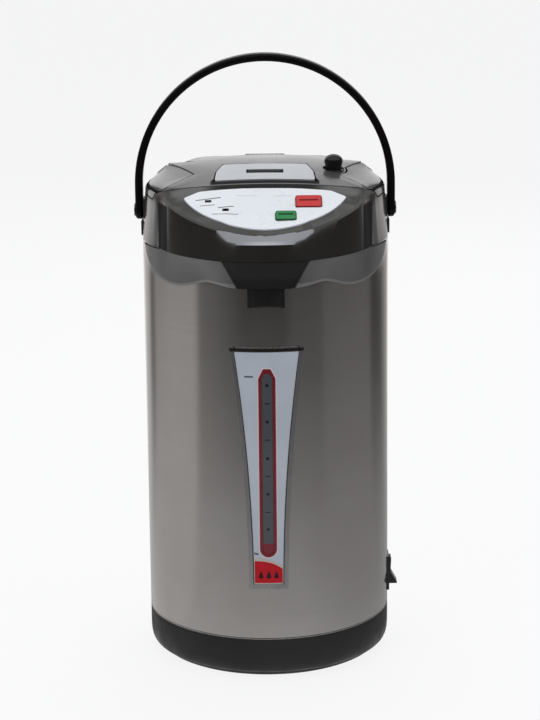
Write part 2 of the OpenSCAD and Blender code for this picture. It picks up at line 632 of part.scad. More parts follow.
// each control: x, distance of its middle from the front shoulder, width, depth
red_at = [35.8, slope_y0 + 44.6, 21.5, 18];
green_at = [16.9, slope_y0 + 24.1, 16.8, 13.6];
lens_at = [[-46.8, slope_y0 + 47.5], [-32.1, slope_y0 + 33.2]];
module on_slope(p) translate([p.x, p.y, head_z + slope_h(p.y)]) rotate([slope, 0, 0]) children();
module rounded(w, d, r) offset(r = r, $fn = 24) square([w - 2 * r, d - 2 * r], center = true);
module button_hole(b) translate([0, 0, -8]) linear_extrude(16)
  rounded(b[2] + 2 * play, b[3] + 2 * play, 2.2);
// outline of the panel: a shallow arc at the top, short sloping ends, a round lower edge
panel_top = [54.6, 66.4, 3];    // half width, distance of its middle from the shoulder, sag
panel_r = 70.7;                 // radius of the lower edge
panel_low = 5.6;                // distance of the lower edge from the front shoulder
module lens_plan() offset(r = 3, $fn = 24) offset(delta = -3) intersection() {
  translate([0, slope_y0 + panel_low + panel_r]) circle(r = panel_r, $fn = 160);
  translate([0, slope_y0 + panel_top[1]]) polygon(concat(
    [for (i = [-6 : 6]) [i * panel_top[0] / 6, -panel_top[2] * pow(i / 6, 2)]],
    [[2 * panel_r, -panel_top[2] - 0.77 * (2 * panel_r - panel_top[0])], [0, -2 * panel_r],
      [-2 * panel_r, -panel_top[2] - 0.77 * (2 * panel_r - panel_top[0])]]));
}
panel_t = 0.8;
module control_panel() color([0.9, 0.93, 0.97]) moulding() difference() {
  intersection() {
    difference() {
      head_form(-panel_t);
      head_form(-0.02);
    }
    tall(0) lens_plan();
  }
  for (b = [red_at, green_at]) on_slope(b) button_hole(b);
  for (l = lens_at) on_slope(l) cylinder(r = 2, h = 14, center = true, $fn = 24);
}
module indicator_lenses() color([0.15, 0.12, 0.1])
  for (l = lens_at) on_slope(l) translate([0, 0, -5]) cylinder(r = 1.9, h = 6, $fn = 24);
module push_button(b) on_slope(b) {
  difference() {
    translate([0, 0, -4]) linear_extrude(6.6) rounded(b[2], b[3], 1.9);
    translate([-b[2] * 0.36, b[3] * 0.02, 1.9]) cube([b[2] * 0.72, 1.5, 2]);
  }
  translate([0, 0, -7]) cylinder(r = 3, h = 3.5, $fn = 32);
}
module red_button() color([0.8, 0.2, 0.22]) push_button(red_at);
module green_button() color([0.12, 0.5, 0.27]) push_button(green_at);
board_gap = 14;
board = [116, 28, 1.6];
module control_board() color([0.1, 0.35, 0.2]) on_slope([0, slope_y0 + 36.4])
  translate([0, 0, -board_gap - board.z]) difference() {
    translate([-board.x / 2, -board.y / 2, 0]) cube(board);
    for (s = [-1, 1]) translate([s * (board.x / 2 - 4), 0, -1]) cylinder(r = 1.6, h = 4, $fn = 24);
  }
module tact_switches() color([0.12, 0.12, 0.12])
  for (b = [red_at, green_at]) on_slope(b) translate([0, 0, -board_gap]) {
    translate([-3, -3, 0]) cube([6, 6, 3.5]);
    cylinder(r = 1.7, h = board_gap - 7 - button_travel - 0.1, $fn = 24);
  }
module power_board() color([0.1, 0.35, 0.2]) translate([0, 0, base_z + 12]) {
  difference() {
    translate([-25, 29, 0]) cube([50, 48, 1.6]);
    for (p = board_posts) translate([p.x, p.y, -1]) cylinder(r = 1.6, h = 4, $fn = 24);
  }
  translate([-19, 42, 1.6]) cube([18, 22, 16]);
  translate([7, 44, 1.6]) cube([13, 16, 12]);
  for (x = [-9, 0, 9]) translate([x, 70, 1.6]) cylinder(r = 3.4, h = 13, $fn = 32);
}

// -------------------------------------------------- mains inlet and switch
inlet_w = 32;
inlet_h = 25;
inlet_z = base_h + 23;
socket_w = 24.4;
socket_h = 16.8;
socket_d = 16;
module power_inlet() color([0.08, 0.08, 0.08]) difference() {
  union() {
    translate([-inlet_w / 2, body_r - 3, inlet_z - inlet_h / 2]) cube([inlet_w, 5, inlet_h]);
    translate([-socket_w / 2 - 2, body_r - 20, inlet_z - socket_h / 2 - 2])
      cube([socket_w + 4, 20, socket_h + 4]);
  }
  translate([0, body_r + 3, inlet_z]) rotate([90, 0, 0]) linear_extrude(socket_d + 1)
    polygon([[-socket_w / 2, -socket_h / 2], [socket_w / 2, -socket_h / 2],
      [socket_w / 2, socket_h / 2 - 4], [socket_w / 2 - 4, socket_h / 2],
      [-socket_w / 2 + 4, socket_h / 2], [-socket_w / 2, socket_h / 2 - 4]]);
}
module inlet_pins() color([0.85, 0.8, 0.6]) {
  for (s = [-7, 7]) translate([s - 1, body_r - 14, inlet_z - 4.2]) cube([2, 12, 4]);
  translate([-1, body_r - 14, inlet_z + 0.6]) cube([2, 13, 4]);
}
switch_c = base_h + switch_z;
rocker_x = body_r + 0.6;
module switch_frame() color([0.06, 0.06, 0.06]) difference() {
  union() {
    translate([body_r - 3, -switch_w / 2, switch_c - switch_h / 2]) cube([4.4, switch_w, switch_h]);
    translate([body_r - 13, -switch_w / 2 + 1.5, switch_c - switch_h / 2 + 1.5])
      cube([11, switch_w - 3, switch_h - 3]);
  }
  translate([body_r - 11, -switch_w / 2 + 3, switch_c - switch_h / 2 + 3])
    cube([20, switch_w - 6, switch_h - 6]);
}
rocker_l = switch_h - 7;
rocker_tilt = 13;
module rocker() color([0.07, 0.07, 0.07])
  translate([rocker_x, 0, switch_c]) rotate([0, -rocker_tilt, 0]) rotate([90, 0, 0])
    linear_extrude(switch_w - 6 - 2 * play, center = true)
      polygon([[-4, -rocker_l / 2 + 2], [5.6, -rocker_l / 2], [2.2, 0], [5.6, rocker_l / 2],
        [-4, rocker_l / 2 - 2], [-7, 0]]);

// ------------------------------------------------------------------- handle
block_w = 18;
block_h = 31;
bail_in = head_r - side_in + bail_gap;
bail_w = bail_in + bail_t;
block_gap = 0.2;                // gap between a pivot block and the bail
block_t = 7.8;                  // thickness of a pivot block
pin_back = 10;                  // length of a pivot pin inside the head
module pivot_blocks() color([0.1, 0.1, 0.1]) for (s = [-1, 1]) difference() {
  union() {
    translate([s > 0 ? bail_in - block_gap - block_t : block_gap - bail_in, -block_w / 2,
      head_z + 1.6]) cube([block_t, block_w, block_h]);
    translate([s > 0 ? bail_in - block_gap - block_t : block_gap - bail_in - 2, -block_w / 2,
      head_z + 1.6]) cube([block_t + 2, block_w, pivot_h - bail_d / 2 - 2.2]);
  }
  translate([s * (bail_in - 20), 0, pivot_z]) rotate([0, s * 90, 0])
    cylinder(r = pivot_r + eps, h = 40);
}
module pivot_pins() color([0.6, 0.6, 0.62]) for (s = [-1, 1])
  translate([s * (bail_in - pin_back), 0, pivot_z]) rotate([0, s * 90, 0]) {
    cylinder(r = pivot_r, h = pin_back + bail_t + 0.6);
    translate([0, 0, pin_back + bail_t + 0.2]) cylinder(r = pivot_r + 1.6, h = 1);
  }
module bail_section() offset(r = 2.6, $fn = 20) square([bail_t - 5.2, bail_d - 5.2], center = true);
module handle() color([0.05, 0.05, 0.05]) difference() {
  union() {
    translate([0, 0, pivot_z + arm_h]) rotate([90, 0, 0]) rotate_extrude(angle = 180, $fn = 96)
      translate([bail_w - bail_t / 2, 0]) bail_section();
    for (s = [-1, 1]) translate([s * (bail_w - bail_t / 2), 0, pivot_z]) {
      linear_extrude(arm_h + eps) bail_section();
      // rounded end, of the same section as the arm
      rotate([0, 90, 0]) rotate([0, 0, -90]) rotate_extrude(angle = 180, $fn = 48)
        intersection() {
          rotate(90) bail_section();
          translate([0, -bail_t]) square([bail_d, 2 * bail_t]);
        }
    }
  }
  for (s = [-1, 1]) translate([s * (bail_in - 14), 0, pivot_z]) rotate([0, s * 90, 0])
    cylinder(r = pivot_r + running, h = 40);
}

// ---------------------------------------------------------------------- lid
bracket_w = 34;
module hinge_bracket() color([0.15, 0.15, 0.15]) difference() {
  union() {
    for (s = [-1, 1]) translate([s > 0 ? bracket_w / 2 - 8 : -bracket_w / 2, 0, 0]) {
      translate([0, hinge_y, hinge_z]) rotate([0, 90, 0]) cylinder(r = knuckle_r, h = 8);
      translate([0, hinge_y - 3.4, collar_z + collar_t]) cube([8, 6.8, hinge_z - collar_z - collar_t]);
    }
    translate([-bracket_w / 2, hinge_y - 3.4, collar_z + collar_t]) cube([bracket_w, 6.8, 5]);
  }
  translate([-30, hinge_y, hinge_z]) rotate([0, 90, 0]) cylinder(r = hinge_r + eps, h = 60);
}
module hinge_pin() color([0.75, 0.75, 0.77])
  translate([-17.5, hinge_y, hinge_z]) rotate([0, 90, 0]) cylinder(r = hinge_r, h = 35);
inner_r0 = mouth_r - 6;
inner_z = rim_z - 20;
module lid_knuckle() color([0.3, 0.3, 0.3]) difference() {
  union() {
    translate([-8.4, hinge_y, hinge_z]) rotate([0, 90, 0]) cylinder(r = knuckle_r, h = 16.8);
    translate([-8.4, hinge_y - 14, hinge_z - 5]) cube([16.8, 14, 4.4]);
    translate([-8.4, hinge_y - 14, rim_z + 4]) cube([16.8, 3, hinge_z - rim_z - 5]);
  }
  translate([-30, hinge_y, hinge_z]) rotate([0, 90, 0]) cylinder(r = hinge_r + running, h = 60);
}
// plan outline of the latch lever, wider at the front, with slightly curved sides
latch_y0 = -lid_front + latch_in;
module lever_plan() translate([0, latch_y0]) offset(r = 2.5, $fn = 24) offset(delta = -2.5)
  polygon([[-latch_w / 2, 0], [latch_w / 2, 0], [latch_w / 2 - 1.3, latch_d / 2],
    [latch_w / 2 - 6.7, latch_d], [-latch_w / 2 + 6.7, latch_d], [-latch_w / 2 + 1.3, latch_d / 2]]);
// the pocket in the lid round it, with a wider groove along the front
module lever_pocket() {
  offset(delta = seam) lever_plan();
  translate([0, latch_y0 - 1.5]) polygon([[-latch_w / 2 - 3.7, 0], [latch_w / 2 + 3.7, 0],
    [latch_w / 2, 8], [-latch_w / 2, 8]]);
  translate([-latch_w / 2 + 5.5, latch_y0 + latch_d - 2]) square([latch_w - 11, 4.7]);
}
well = 1.2;                     // dark gap round the steam knob
lid_skirt_h = 38.8;             // height of the skirt's edge above the head's seam
module lid_cover() color([0.45, 0.45, 0.45]) moulding() difference() {
  intersection() {
    head_form(0);
    tall(lid_skirt_h) lid_plan();
  }
  // the hollow under the top leaves a skirt, except at the two front corners
  intersection() {
    head_form(wall);
    tall(0) {
      lid_plan(-wall);
      difference() {
        circle(r = head_r + beak);
        round_plan(head_r - 12);
      }
    }
  }
  tall(0) lever_pocket();
  tall(0) translate([knob_x, knob_y]) circle(r = knob_r + well, $fn = 40);
  translate([-18, hinge_y - 8.4, hinge_z - 20]) cube([36, 20, 40]);
}
module lid_inner() color([0.82, 0.82, 0.83]) translate([0, mouth_y, 0]) rotate_extrude($fn = 96)
  polygon([[0, inner_z], [inner_r0 - 6, inner_z], [inner_r0, inner_z + 6], [inner_r0, rim_z + 2],
    [mouth_r + 3, rim_z + 2], [mouth_r + 3, rim_z + 4], [inner_r0 - 2, rim_z + 4],
    [inner_r0 - 2, inner_z + 7], [inner_r0 - 7, inner_z + 2], [0, inner_z + 2]]);
module lid_gasket() color([0.88, 0.86, 0.82]) translate([0, mouth_y, rim_z]) difference() {
  cylinder(r = mouth_r + wall, h = 2, $fn = 96);
  translate([0, 0, -1]) cylinder(r = inner_r0 + 0.1, h = 4, $fn = 96);
}
tray_z = rim_z + 5;
latch_y = latch_y0 + latch_d - 5;
latch_z = head_z + top_h(0, latch_y) - 4.6;
module latch_tray() color([0.12, 0.12, 0.12]) difference() {
  union() {
    translate([-latch_w / 2 - 2, latch_y0 - 3.8, tray_z]) cube([latch_w + 4, latch_d + 6, 1.6]);
    for (s = [-1, 1]) translate([s * 20 - 2, latch_y - 3, tray_z])
      cube([4, 6, latch_z - tray_z + 1.6]);
  }
  translate([-40, latch_y, latch_z]) rotate([0, 90, 0]) cylinder(r = 1.2 + eps, h = 80);
}
module latch_pin() color([0.75, 0.75, 0.77])
  translate([-23, latch_y, latch_z]) rotate([0, 90, 0]) cylinder(r = 1.2, h = 46);
module latch_lever() color([0.8, 0.81, 0.84]) {
  moulding() difference() {
    intersection() {
      difference() { head_form(-0.5); head_form(1.6); }
      tall(0) lever_plan();
    }
    tall(0) translate([0, latch_y0 + 16.2]) rounded(31, 7.4, 1.8);
  }
  difference() {
    for (s = [-1, 1]) translate([s * 14 - 3, latch_y - 2.8, latch_z - 2.4])
      cube([6, 5.6, 6.2]);
    translate([-40, latch_y, latch_z]) rotate([0, 90, 0]) cylinder(r = 1.2 + running, h = 80);
  }
}
module latch_bolt() color([0.7, 0.7, 0.72])
  translate([-9, latch_y0 - 3, tray_z + 1.8]) cube([18, 14, 2.4]);
knob_z = head_z + top_h(knob_x, knob_y);
module steam_seat() color([0.09, 0.09, 0.09]) translate([knob_x, knob_y, 0]) difference() {
  translate([0, 0, knob_z - 11]) cylinder(r = knob_r + well - 0.1, h = 10);
  translate([0, 0, knob_z - 20]) cylinder(r = 2.5 + running, h = 60);
}
module steam_knob() color([0.04, 0.04, 0.04]) translate([knob_x, knob_y, 0]) {
  translate([0, 0, knob_z - 14]) cylinder(r = 2.5, h = 15);
  // a low ball: a tapered waist under a flattened dome
  translate([0, 0, knob_z - 0.8]) rotate_extrude($fn = 48) polygon(concat(
    [[0, 0], [knob_r - 1.4, 0]],
    [for (i = [-2 : 8]) let (t = i * 90 / 8)
      [knob_r * cos(t), knob_h * 0.55 + knob_h * 0.45 * sin(t)]]));
}

swivel_foot();
foot_pads();
base_ring();
base_plate();
base_screws();
swivel_clip();
outer_shell();
inner_pot();
pot_gasket();
heater_band();
thermostat();
pump_housing();
pump_motor();
impeller();
suction_tube();
outlet_elbow();
gauge_tube();
gauge_frame();
gauge_panel();
gauge_bezel();
gauge_window();
spout_elbow();
nozzle();
bib();
front_cover();
rear_cover();
side_facets();
fill_collar();
control_panel();
indicator_lenses();
control_board();
tact_switches();
red_button();
green_button();
power_board();
power_inlet();
inlet_pins();
switch_frame();
rocker();
pivot_blocks();
pivot_pins();
handle();
hinge_bracket();
hinge_pin();
lid_cover();
lid_inner();
lid_gasket();
lid_knuckle();
latch_tray();
latch_lever();
latch_pin();
latch_bolt();
steam_knob();
steam_seat();
collar_screws();
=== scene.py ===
import math

import bmesh
import bpy
from mathutils import Matrix, Vector


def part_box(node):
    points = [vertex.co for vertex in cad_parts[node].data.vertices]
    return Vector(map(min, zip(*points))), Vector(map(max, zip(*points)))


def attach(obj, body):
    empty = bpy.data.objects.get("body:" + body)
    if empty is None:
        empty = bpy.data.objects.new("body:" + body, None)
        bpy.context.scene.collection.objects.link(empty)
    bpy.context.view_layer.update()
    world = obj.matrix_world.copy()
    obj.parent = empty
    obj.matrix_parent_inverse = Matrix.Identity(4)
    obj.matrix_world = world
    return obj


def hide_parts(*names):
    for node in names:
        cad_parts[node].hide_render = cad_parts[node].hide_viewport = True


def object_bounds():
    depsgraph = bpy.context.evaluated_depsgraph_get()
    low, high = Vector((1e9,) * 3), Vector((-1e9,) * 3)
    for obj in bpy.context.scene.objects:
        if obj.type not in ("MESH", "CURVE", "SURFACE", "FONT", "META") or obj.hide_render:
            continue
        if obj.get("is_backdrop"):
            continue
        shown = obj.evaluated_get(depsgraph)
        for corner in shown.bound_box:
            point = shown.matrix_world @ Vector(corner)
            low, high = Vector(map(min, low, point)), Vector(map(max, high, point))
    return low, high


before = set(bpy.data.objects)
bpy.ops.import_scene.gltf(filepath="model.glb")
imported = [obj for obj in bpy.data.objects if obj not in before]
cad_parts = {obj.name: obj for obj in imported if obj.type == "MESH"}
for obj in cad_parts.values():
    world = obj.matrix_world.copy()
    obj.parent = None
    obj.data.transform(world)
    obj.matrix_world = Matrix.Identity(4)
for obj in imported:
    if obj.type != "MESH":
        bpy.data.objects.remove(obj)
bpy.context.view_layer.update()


# ------------------------------------------------------------------ camera
# The photograph was taken with a long lens from a little above the lid, about
# 1.9 m in front of the pot, with the camera tipped down and a touch askew.
camera_place = (0.00281, -1.8587, 0.7007)
camera_tip, camera_roll = 76.532, -0.578
lens = bpy.data.cameras.new("camera")
lens.lens = 110
lens.sensor_width = 36
lens.clip_start, lens.clip_end = 0.1, 30
camera = bpy.data.objects.new("camera", lens)
camera.matrix_world = (Matrix.Translation(camera_place)
                       @ Matrix.Rotation(math.radians(camera_tip), 4, "X")
                       @ Matrix.Rotation(math.radians(camera_roll), 4, "Z"))
bpy.context.collection.objects.link(camera)
bpy.context.scene.camera = camera
bpy.context.scene.view_settings.view_transform = "Standard"


# ------------------------------------------------------------------ studio
# A white table and a white backdrop, large soft lamps in front, above and
# behind, and a bowl of grey cards that only the gloss on the pot can see.
class Wire:
    """A shader socket that can be used in Python sums."""

    def __init__(self, shop, socket):
        self.shop, self.socket = shop, socket

    def maths(self, operation, *values):
        return self.shop.add("ShaderNodeMath", {"operation": operation},
                             dict(enumerate(values)))

    def __add__(self, other):
        return self.maths("ADD", self, other)

    def __sub__(self, other):
        return self.maths("SUBTRACT", self, other)

    def __rsub__(self, other):
        return self.maths("SUBTRACT", other, self)

    def __mul__(self, other):
        return self.maths("MULTIPLY", self, other)

    __radd__, __rmul__ = __add__, __mul__

    def size(self):
        return self.maths("ABSOLUTE", self)

    def power(self, by):
        return self.maths("POWER", self, by)

    def diagonal(self, other):
        """How far a point is that lies this far one way and other across."""
        return self.maths("SQRT", self * self + other * other)

    def largest(self, other):
        return self.maths("MAXIMUM", self, other)

    def least(self, other):
        return self.maths("MINIMUM", self, other)

    def ramp(self, low, high, first=0.0, last=1.0):
        """first below low, last above high, and a soft step between."""
        return self.shop.add("ShaderNodeMapRange", {"interpolation_type": "SMOOTHSTEP"},
                             {0: self, 1: low, 2: high, 3: first, 4: last})

    def fall(self, low, high):
        """1 below low and 0 above high."""
        return self.ramp(low, high, 1.0, 0.0)


class Shop:
    """Adds nodes to one node tree."""

    def __init__(self, tree):
        self.tree = tree

    def feed(self, socket, value):
        if isinstance(value, Wire):
            self.tree.links.new(value.socket, socket)
        else:
            socket.default_value = value

    def add(self, kind, settings=(), inputs=(), output=0):
        node = self.tree.nodes.new(kind)
        for key, value in dict(settings).items():
            if key == "stops":
                ends = node.color_ramp.elements
                ends[0].position, ends[0].color = value[0]
                ends[1].position, ends[1].color = value[-1]
                for position, colour in value[1:-1]:
                    ends.new(position).color = colour
            else:
                setattr(node, key, value)
        for key, value in dict(inputs).items():
            self.feed(node.inputs[key], value)
        return Wire(self, node.outputs[output])

    def mix(self, factor, first, second):
        """A colour between two colours."""
        return self.add("ShaderNodeMix", {"data_type": "RGBA"},
                        {0: factor, 6: first, 7: second}, 2)

    def place(self, *stretch):
        """The point on the piece in metres, stretched along x, y and z."""
        point = self.add("ShaderNodeTexCoord", output="Object")
        if stretch:
            point = self.add("ShaderNodeMapping", {}, {"Vector": point, "Scale": stretch})
        return point

    def axis(self, index):
        """One coordinate of the point on the piece, in metres."""
        return self.add("ShaderNodeSeparateXYZ", {}, {0: self.place()}, index)

    def cloud(self, scale, detail, stretch=()):
        """Soft noise between 0 and 1, with scale features to the metre."""
        return self.add("ShaderNodeTexNoise", {},
                        {"Vector": self.place(*stretch), "Scale": scale, "Detail": detail})

    def surface(self, shader):
        self.feed(self.tree.nodes["Material Output"].inputs["Surface"], shader)


def seen_directly(shop):
    """1 for what the camera, a mirror or glass looks at, and 0 for lighting."""
    camera_ray, glossy_ray, clear_ray = (
        shop.add("ShaderNodeLightPath", output=name)
        for name in ("Is Camera Ray", "Is Glossy Ray", "Is Transmission Ray"))
    return camera_ray.largest(glossy_ray).largest(clear_ray)


def papered(name, bm, paper_name):
    """Puts a bmesh into the studio with a paper on it, and opens the paper."""
    mesh = bpy.data.meshes.new(name)
    bm.to_mesh(mesh)
    bm.free()
    sheet = bpy.data.objects.new(name, mesh)
    bpy.context.collection.objects.link(sheet)
    paper = bpy.data.materials.new(paper_name)
    paper.use_nodes = True
    mesh.materials.append(paper)
    return sheet, Shop(paper.node_tree)


backdrop_white = (0.947, 0.949, 0.950, 1)
room_light = (0.38, 0.385, 0.39, 1)
world = bpy.data.worlds.new("studio")
bpy.context.scene.world = world
world.use_nodes = True
sky = Shop(world.node_tree)
sky.feed(sky.tree.nodes["Background"].inputs["Color"],
         sky.mix(seen_directly(sky), room_light, backdrop_white))

floor_r = 9
floor_glow = 0.88
disc = bmesh.new()
bmesh.ops.create_circle(disc, cap_ends=True, radius=floor_r, segments=96)
floor, table = papered("floor", disc, "white_paper")
matt = table.add("ShaderNodeBsdfDiffuse", {}, {"Color": (0.9, 0.9, 0.9, 1)})
glow = table.add("ShaderNodeEmission", {}, {"Color": (0.985, 0.987, 0.988, 1), "Strength": 1})
table.surface(table.add("ShaderNodeMixShader", {},
                        {0: seen_directly(table) * floor_glow, 1: matt, 2: glow}))
floor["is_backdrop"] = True

# name, place, aim, width, height, power: no lamp shows as a spot in the gloss
lamps = [("key", (-1.5, -1.6, 1.5), (0, 0, 0.25), 1.0, 1.4, 8),
         ("fill", (1.7, -1.4, 1.2), (0, 0, 0.25), 1.0, 1.4, 5.5),
         ("top", (0, 0.3, 2.0), (0, 0, 0.3), 1.4, 1.4, 15),
         ("back", (0.4, 2.0, 1.3), (0, 0, 0.35), 1.6, 1.0, 8)]
for name, place, aim, width, height, power in lamps:
    light = bpy.data.lights.new(name, "AREA")
    light.shape, light.size, light.size_y, light.energy = "RECTANGLE", width, height, power
    lamp = bpy.data.objects.new(name, light)
    facing = (Vector(aim) - Vector(place)).to_track_quat("-Z", "Y")
    lamp.matrix_world = Matrix.Translation(place) @ facing.to_matrix().to_4x4()
    lamp.visible_glossy = False
    bpy.context.collection.objects.link(lamp)

# the cards: a wide bowl of grey paper that only the gloss on the pot can see,
# from the table beside the pot up to a low wall, open behind the pot
card_turn = 312
card_start = math.radians(card_turn / 2)
# radius and height of the bowl, from beside the pot outwards
bowl = [(0.125, 0.0004), (0.3, 0.0006), (0.6, 0.001), (1.0, 0.004), (1.5, 0.03), (2.1, 0.25),
        (2.5, 0.7), (2.7, 1.3), (2.8, 2.0)]
dish = bmesh.new()
rib = [dish.verts.new((-r * math.sin(card_start), -r * math.cos(card_start), z))
       for r, z in bowl]
edges = [dish.edges.new(pair) for pair in zip(rib, rib[1:])]
bmesh.ops.spin(dish, geom=rib + edges, cent=(0, 0, 0), axis=(0, 0, 1),
               angle=math.radians(card_turn), steps=96)
cards, wall = papered("cards", dish, "card_greys")
across, away = wall.axis(0), wall.axis(1) * -1.0
around = across.maths("ARCTAN2", across, away) * (0.5 / math.pi) + 0.5
reach = across.diagonal(away)
# place round the bowl in degrees from the front, left side first, and shade:
# the paper beside the pot, the far paper, and the low wall behind it
near_paper = [(-156, 0.62), (-122, 0.58), (-70, 0.57), (-60, 0.53), (0, 0.51), (30, 0.47),
              (60, 0.40), (111, 0.36), (144, 0.40), (156, 0.42)]
far_paper = [(-156, 0.66), (-140, 0.52), (-133, 0.12), (-128, 0.14), (-122, 0.40), (-96, 0.52),
             (-68, 0.55), (-62, 0.20), (-50, 0.17), (-34, 0.10), (-20, 0.035), (16, 0.03),
             (24, 0.08), (50, 0.09), (54, 0.15), (84, 0.18), (108, 0.19), (114, 0.07),
             (130, 0.06), (137, 0.16), (146, 0.38), (156, 0.42)]
wall_paper = [(-156, 0.95), (-127, 0.85), (-121, 0.07), (-100, 0.08), (-60, 0.08), (0, 0.05),
              (60, 0.08), (100, 0.07), (121, 0.07), (127, 0.70), (156, 0.80)]


def ring_of(greys, tint):
    """A colour ramp round the bowl from pairs of a place and a grey."""
    stops = [(a / 360 + 0.5, tuple(g * c for c in tint) + (1,)) for a, g in greys]
    return wall.add("ShaderNodeValToRGB", {"stops": stops}, {0: around})


# distances from the pot over which one paper gives way to the next
near_to_far, far_to_wall = (0.05, 1.45), (1.6, 2.0)
laid = wall.mix(reach.ramp(*near_to_far), ring_of(near_paper, (1, 0.985, 0.975)),
                ring_of(far_paper, (1, 0.97, 0.94)))
whole = wall.mix(reach.ramp(*far_to_wall), laid, ring_of(wall_paper, (1, 0.98, 0.96)))
wall.surface(wall.add("ShaderNodeEmission", {}, {"Color": whole, "Strength": 1}))
for kind in ("camera", "diffuse", "transmission", "volume_scatter", "shadow"):
    setattr(cards, "visible_" + kind, False)
cards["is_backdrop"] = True


# ------------------------------------------------------------- swivel foot
# A black moulded disc that the pot turns on, with stiffening rings underneath
# and a pin in the middle. Five rubber pads are pressed into its underside.
class Finish(Shop):
    """A material: constants on its shader's sockets, wires for what varies."""

    def __init__(self, name, constants):
        self.material = bpy.data.materials.new(name)
        self.material.use_nodes = True
        super().__init__(self.material.node_tree)
        self.shader = self.tree.nodes["Principled BSDF"]
        self.set(constants)

    def set(self, values):
        for socket, value in values.items():
            self.feed(self.shader.inputs[socket], value)

    def bump(self, height, depth):
        """Raises the surface by up to depth metres where height is 1."""
        self.set({"Normal": self.add("ShaderNodeBump", {},
                                     {"Strength": 1.0, "Distance": depth,
                                      "Height": height})})

    def ink_and_painted_light(self, mask, overlay_colour):
        """Lays a colour over the one already there: print, and in places painted light and
        shade.
        """
        under = Wire(self, self.shader.inputs["Base Color"].links[0].from_socket)
        self.set({"Base Color": self.mix(mask, under, overlay_colour)})


def shade(colour, by):
    return tuple(min(1.0, c * by) for c in colour[:3]) + (1,)


def moulded(name, colour, rough, grain=1400, depth=0.00004, mottle=0.12, constants=()):
    """A moulded plastic: fine texture from the tool, cloudy gloss, light wear."""
    made = Finish(name, {"IOR": 1.49, **dict(constants)})
    flow = made.cloud(22, 3)
    rub = made.cloud(70, 4)
    made.set({"Base Color": made.mix(flow.ramp(0.3, 0.7), shade(colour, 1 - mottle),
                                     shade(colour, 1 + mottle)),
              "Roughness": rub.ramp(0.3, 0.75, rough * 0.85, rough * 1.2)})
    made.bump(made.cloud(grain, 2) + rub * 0.4, depth)
    return made


def place_piece(name, bm, finish, body, replaced=(), crease=32):
    """Puts a finished bmesh into the scene as a piece that rides on a body."""
    mesh = bpy.data.meshes.new(name)
    bm.to_mesh(mesh)
    bm.free()
    mesh.shade_smooth()
    mesh.set_sharp_from_angle(angle=math.radians(crease))
    mesh.materials.append(finish.material)
    piece = bpy.data.objects.new(name, mesh)
    bpy.context.collection.objects.link(piece)
    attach(piece, body)
    if replaced:
        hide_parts(*replaced)
    return piece


def turned(profile, steps=96):
    """A solid of revolution round the pot's axis, from a closed outline."""
    bm = bmesh.new()
    corners = [bm.verts.new((r, 0, z)) for r, z in profile]
    edges = [bm.edges.new(pair) for pair in zip(corners, corners[1:] + corners[:1])]
    bmesh.ops.spin(bm, geom=corners + edges, cent=(0, 0, 0), axis=(0, 0, 1),
                   angle=math.tau, steps=steps, use_merge=True)
    bmesh.ops.remove_doubles(bm, verts=bm.verts, dist=1e-6)
    bmesh.ops.dissolve_degenerate(bm, dist=1e-6, edges=bm.edges)
    bmesh.ops.recalc_face_normals(bm, faces=bm.faces)
    return bm


def rounded(bm, width, segments=2):
    """Rounds every edge that turns by more than 40 degrees."""
    sharp = [e for e in bm.edges if len(e.link_faces) == 2
             and e.calc_face_angle(0) > math.radians(40)]
    bmesh.ops.bevel(bm, geom=sharp, offset=width, offset_type="OFFSET", affect="EDGES",
                    segments=segments, profile=0.5, material=-1, clamp_overlap=True)
    return bm


foot_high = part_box("swivel_foot")[1]
foot_r, pin_top = foot_high.x, foot_high.z
sole, groove, web, foot_top = 0.0015, 0.0024, 0.0040, 0.0055
boss_r, pin_r = 0.015, 0.009
black = moulded("black_plastic", (0.028, 0.028, 0.029), 0.5)
foot = [(0, sole), (0.03, sole), (0.031, groove), (0.038, groove), (0.039, sole),
        (0.062, sole), (0.063, groove), (0.068, groove), (0.069, sole),
        (foot_r - 0.003, sole), (foot_r, 0.003), (foot_r, foot_top),
        (foot_r - 0.003, foot_top), (foot_r - 0.005, web), (boss_r, web),
        (boss_r, foot_top), (pin_r, foot_top), (pin_r, pin_top), (0, pin_top)]
place_piece("foot_disc", rounded(turned(foot), 0.0004), black, "foot",
            ["swivel_foot"])

pad_rubber = moulded("pad_rubber", (0.022, 0.022, 0.022), 0.85, 900, 0.0001, 0.2)
pad_circle, pad_r, middle_pad_r = 0.081, 0.009, 0.013
quarters = [math.radians(45 + 90 * k) for k in range(4)]
pad_spots = [(0, 0, middle_pad_r)] + [
    (pad_circle * math.cos(a), pad_circle * math.sin(a), pad_r) for a in quarters]
pads = bmesh.new()
for x, y, r in pad_spots:
    made = bmesh.ops.create_circle(pads, cap_ends=True, segments=40, radius=r,
                                   matrix=Matrix.Translation((x, y, sole)))
    face = made["verts"][0].link_faces[0]
    pressed = bmesh.ops.extrude_face_region(pads, geom=[face])
    low = [v for v in pressed["geom"] if isinstance(v, bmesh.types.BMVert)]
    bmesh.ops.translate(pads, verts=low, vec=(0, 0, -sole))
bmesh.ops.recalc_face_normals(pads, faces=pads.faces)
place_piece("rubber_pads", rounded(pads, 0.0004), pad_rubber, "foot",
            ["foot_pads"])


# --------------------------------------------------------------- base ring
# The dark skirt round the bottom of the pot, moulded in one piece with a
# rolled lower edge. The steel body stands on its rim with a thin dark joint.
body_r, seam_z = 0.105, 0.037
